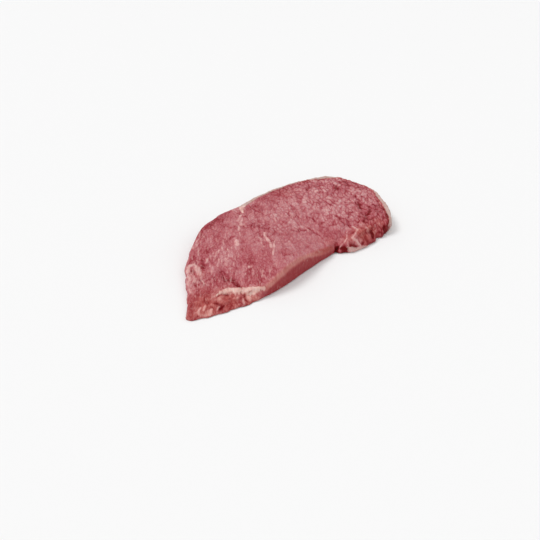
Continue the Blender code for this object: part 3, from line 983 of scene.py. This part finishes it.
def ragged(points, inside):
    """Points with the edge of the tail, of the shoulder and of the side muscle made uneven."""
    x, y, z = points.T
    size = FRAY + TAIL_FRAY * smooth_step(*TAIL_FRAYED, x)
    size += MUSCLE_FRAY * smooth_step(*MUSCLE_FRAYED, x) * (y < TRIMMED)
    size *= 1 - CUT_FRAY_LOSS * plateau(*CUT_MARKED, x) * (y < CUT_BEFORE)
    size *= smooth_step(*FRAY_INSIDE, inside)
    moved = points.copy()
    moved[:, :2] += size[:, None] * moved_by(np.column_stack([x, y, FRAY_HEIGHT * z]), FRAYS)
    nick_x, nick_y = NICK_AT
    away = ((x - nick_x) / NICK_WIDTH) ** 2 + ((y - nick_y) / (2 * NICK_WIDTH)) ** 2
    moved[:, 1] += NICK_DEPTH * np.exp(-away)
    return moved


def make_steak():
    """The steak's mesh, with its relief and its marks."""
    points, faces, closed = build_form()
    inside = nearest_on_path(*points.T[:2], closed)[0]
    points = points + smooth_step(*EDGE_SOFTENED, inside)[:, None] * (relaxed(points, faces) - points)
    normal = normals(points, faces)
    marks, relief = mark_surface(points, normal, closed)
    relief *= smooth_step(*FINE_RELIEF_FROM, thickness(*points.T[:2]))
    points = points + normal * relief[:, None]
    points[:, 2] = np.maximum(points[:, 2], 0)
    points = ragged(points, inside)

    mesh = bpy.data.meshes.new("steak_meat")
    mesh.from_pydata(points * MM, [], faces.tolist())
    mesh.shade_smooth()
    for name, values in marks.items():
        layer = mesh.attributes.new(name, "FLOAT", "POINT")
        layer.data.foreach_set("value", np.clip(values, 0, MOST_MARK).astype(np.float32))
    return mesh


def node(tree, kind, inputs=(), **settings):
    """A new shader node. Its inputs are given as values, or as another node's output to join."""
    made = tree.nodes.new(kind)
    for name, value in settings.items():
        setattr(made, name, value)
    for name, value in dict(inputs).items():
        if isinstance(value, bpy.types.NodeSocket):
            tree.links.new(value, made.inputs[name])
        else:
            made.inputs[name].default_value = value
    return made


def maths(tree, operation, *values):
    """The output of a Math node on numbers or sockets."""
    return node(tree, "ShaderNodeMath", dict(enumerate(values)), operation=operation).outputs[0]


def scaled_noise(tree, where, wave, detail, roughness, output="Fac"):
    """Noise from 0 to 1 with a wavelength in millimetres."""
    inputs = {"Vector": where, "Scale": 1 / (wave * MM), "Detail": detail, "Roughness": roughness}
    return node(tree, "ShaderNodeTexNoise", inputs).outputs[output]


def between(tree, value, low, high):
    """0 where a value is at or below low, 1 at or above high, and an even S between them."""
    inputs = {"Value": value, "From Min": low, "From Max": high}
    return node(tree, "ShaderNodeMapRange", inputs, interpolation_type="SMOOTHSTEP").outputs["Result"]


def mixed(tree, share, a, b):
    """Colour a turning to colour b by a share."""
    return node(tree, "ShaderNodeMix", {0: share, 6: a, 7: b}, data_type="RGBA").outputs[2]


def mark(tree, name):
    """One of the mesh's marks, as a shader output."""
    return node(tree, "ShaderNodeAttribute", attribute_name=name).outputs["Fac"]


def ramp(tree, value, stops):
    """A colour that runs through the stops as a value goes from 0 to 1."""
    made = node(tree, "ShaderNodeValToRGB", {"Fac": value})
    elements = made.color_ramp.elements
    while len(elements) < len(stops):
        elements.new(1.0)
    for element, (place, colour) in zip(elements, stops):
        element.position = place
        element.color = colour + (1.0,)
    return made.outputs["Color"]


def drawn_out(tree, place, stretch):
    """Coordinates that shrink along the grain, so that noise in them is drawn out along it."""
    turn = (0, 0, math.radians(GRAIN_ANGLE))
    inputs = {"Vector": place, "Rotation": turn, "Scale": (stretch, 1, DEPTH_STRETCH)}
    return node(tree, "ShaderNodeMapping", inputs, vector_type="TEXTURE").outputs[0]


def shader_cells(tree, grain):
    """The gaps between the smallest bundles of fibre, and the pale ring inside each, which is a painted wet
    highlight.
    """
    sway = scaled_noise(tree, grain, *CELL_NOISE, "Color")
    moved = {0: sway, 1: (CELL_SWAY * MM,) * 3, 2: grain}
    swayed = node(tree, "ShaderNodeVectorMath", moved, operation="MULTIPLY_ADD").outputs[0]
    cells = {"Vector": swayed, "Scale": 1 / (CELL_WIDTH * MM)}
    edge = node(tree, "ShaderNodeTexVoronoi", cells, feature="DISTANCE_TO_EDGE").outputs["Distance"]
    ring = maths(tree, "MULTIPLY", between(tree, edge, *CELL_RISE), between(tree, edge, *CELL_FALL))
    return between(tree, edge, *CELL_GAP), ring


def flesh_colour(tree, noises, gap, ring):
    """Mottled red flesh, more orange where it is marked so, with pale flecks that are partly marbling and
    partly painted glints, and painted highlight rings on the smallest bundles.
    """
    speck = mark(tree, "speck")
    grainy = maths(tree, "MULTIPLY_ADD", speck, CELL_SPECK, CELL_TONE)
    grainy = maths(tree, "MULTIPLY", grainy, mark(tree, "cells"))
    fine = maths(tree, "SUBTRACT", noises["fine"], FINE_MEAN)
    tone = maths(tree, "MULTIPLY_ADD", fine, mark(tree, "grit"), mark(tree, "tone"))
    # Painted highlight rings, less the dark gaps, of the smallest bundles.
    tone = maths(tree, "MULTIPLY_ADD", maths(tree, "SUBTRACT", ring, gap), grainy, tone)
    coarse = maths(tree, "SUBTRACT", noises["fatty"], FATTY_MEAN)
    tone = maths(tree, "MULTIPLY_ADD", coarse, maths(tree, "MULTIPLY", speck, COARSE_TONE), tone)
    flesh = mixed(tree, mark(tree, "orange"), ramp(tree, tone, MEAT_TONES), ramp(tree, tone, ORANGE_TONES))
    # Pale flecks, partly marbling and partly painted glints.
    flecks = maths(tree, "MULTIPLY", between(tree, noises["streak"], *SPECK_RANGE), speck)
    return mixed(tree, flecks, flesh, WEB_COLOUR)


def with_webs(tree, noises, flesh):
    """Flesh with pale webs, broken up into fibres."""
    web = maths(tree, "MULTIPLY_ADD", noises["streak"], *WEB_BROKEN)
    web = between(tree, maths(tree, "MULTIPLY", mark(tree, "web"), web), *WEB_RANGE)
    firm = maths(tree, "MULTIPLY_ADD", mark(tree, "orange"), *WEB_FIRM)
    return mixed(tree, maths(tree, "MULTIPLY", web, firm), flesh, WEB_COLOUR)


def with_hollows(tree, noises, flesh):
    """Flesh with deep red, wet hollows, partly painted shade, and near black as painted shadow where deepest.
    """
    level = maths(tree, "SUBTRACT", mark(tree, "deep"), HOLLOW_LEVEL)
    deep = maths(tree, "MULTIPLY_ADD", noises["fine"], HOLLOW_NOISE, level)
    hollow = ramp(tree, maths(tree, "MULTIPLY", deep, HOLLOW_TONE), HOLLOW_AND_SHADOW_TONES)
    return mixed(tree, between(tree, deep, *HOLLOW_RANGE), flesh, hollow)


def with_fat(tree, noises, flesh):
    """Flesh with the cream fat of the bands and of the rim, which is painted paler where it runs down the
    wall, as light that offsets the wall's shade.
    """
    uneven = maths(tree, "MULTIPLY_ADD", noises["uneven"], *EDGE_UNEVEN)
    fat_share = between(tree, maths(tree, "ADD", mark(tree, "fat"), uneven), *FAT_RANGE)
    colour = mixed(tree, fat_share, flesh, ramp(tree, noises["fatty"], FAT_TONES))
    rim_share = between(tree, maths(tree, "MULTIPLY_ADD", uneven, RIM_UNEVEN, mark(tree, "rim")), *RIM_RANGE)
    # Painted light: the rim's fat is paler where it runs down the wall.
    rim_tone = maths(tree, "MULTIPLY_ADD", mark(tree, "outer"), LIT_RIM_WALL_TONE, noises["fatty"])
    return mixed(tree, rim_share, colour, ramp(tree, rim_tone, RIM_TONES))


def meat_bump(tree, noises, gap):
    """The finest relief: its noise, and the gaps between the smallest bundles."""
    gaps = maths(tree, "MULTIPLY", gap, mark(tree, "cells"))
    height = maths(tree, "MULTIPLY_ADD", gaps, GAP_HEIGHT, noises["fine"])
    inputs = {"Height": height, "Strength": BUMP_STRENGTH, "Distance": BUMP_HEIGHT * MM}
    return node(tree, "ShaderNodeBump", inputs).outputs["Normal"]


def new_material(name, settings):
    """A material and its shader, with some of the shader's values set."""
    material = bpy.data.materials.new(name)
    material.use_nodes = True
    shader = material.node_tree.nodes["Principled BSDF"]
    for setting, value in settings.items():
        shader.inputs[setting].default_value = value
    return material, shader


def meat_material():
    """Moist raw beef: mottled red flesh, pale webs, orange-red side muscles and cream fat."""
    material, shader = new_material("raw_meat", MEAT_SURFACE)
    tree = material.node_tree
    place = node(tree, "ShaderNodeTexCoord").outputs["Object"]
    spaces = {"grain": drawn_out(tree, place, GRAIN_STRETCH), "fibres": drawn_out(tree, place, FIBRE_STRETCH)}
    noises = {}
    for name, (space, *sizes) in SHADER_NOISES.items():
        noises[name] = scaled_noise(tree, spaces[space], *sizes)
    gap, ring = shader_cells(tree, spaces["grain"])
    flesh = flesh_colour(tree, noises, gap, ring)
    flesh = with_webs(tree, noises, flesh)
    flesh = with_hollows(tree, noises, flesh)
    tree.links.new(with_fat(tree, noises, flesh), shader.inputs["Base Color"])
    tree.links.new(maths(tree, "MULTIPLY_ADD", noises["gloss"], *GLOSS), shader.inputs["Roughness"])
    tree.links.new(meat_bump(tree, noises, gap), shader.inputs["Normal"])
    return material


def add_object(name, data):
    """A new object in the scene."""
    made = bpy.data.objects.new(name, data)
    bpy.context.scene.collection.objects.link(made)
    return made


def make_floor():
    """A wide plain floor."""
    corners = [(x * FLOOR_HALF, y * FLOOR_HALF, 0) for x, y in ((-1, -1), (1, -1), (1, 1), (-1, 1))]
    mesh = bpy.data.meshes.new("floor")
    mesh.from_pydata(corners, [], [(0, 1, 2, 3)])
    mesh.materials.append(new_material("floor", FLOOR_SURFACE)[0])
    add_object("floor", mesh)


def make_lights():
    """Soft light from above and behind, and an even pale surround."""
    scene = bpy.context.scene
    scene.view_settings.view_transform = "Standard"
    scene.world = bpy.data.worlds.new("studio")
    scene.world.use_nodes = True
    background = scene.world.node_tree.nodes["Background"]
    background.inputs["Color"].default_value = SURROUND_COLOUR
    background.inputs["Strength"].default_value = SURROUND_STRENGTH
    for name, (source, strength, spread) in SUNS.items():
        sun = bpy.data.lights.new(name, "SUN")
        sun.energy = strength
        sun.angle = math.radians(spread)
        lamp = add_object(name, sun)
        lamp.rotation_mode = "QUATERNION"
        lamp.rotation_quaternion = Vector(source).to_track_quat("Z", "Y")


def make_camera():
    """The photograph's camera."""
    camera = bpy.data.cameras.new("camera")
    camera.lens = CAMERA_LENS
    holder = add_object("camera", camera)
    yaw, pitch, roll = (math.radians(a) for a in (CAMERA_YAW, CAMERA_PITCH, CAMERA_ROLL))
    turn = Matrix.Rotation(-yaw, 4, "Z") @ Matrix.Rotation(math.pi / 2 + pitch, 4, "X")
    turn = turn @ Matrix.Rotation(roll, 4, "Z")
    holder.matrix_world = Matrix.Translation(Vector(CAMERA_AT) * MM) @ turn
    camera.clip_start = CAMERA_CLIP
    bpy.context.scene.camera = holder


def main():
    make_camera()
    make_lights()
    make_floor()
    steak = add_object("steak_meat", make_steak())
    steak.data.materials.append(meat_material())
    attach(steak, "root")
    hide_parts(NODE)


main()
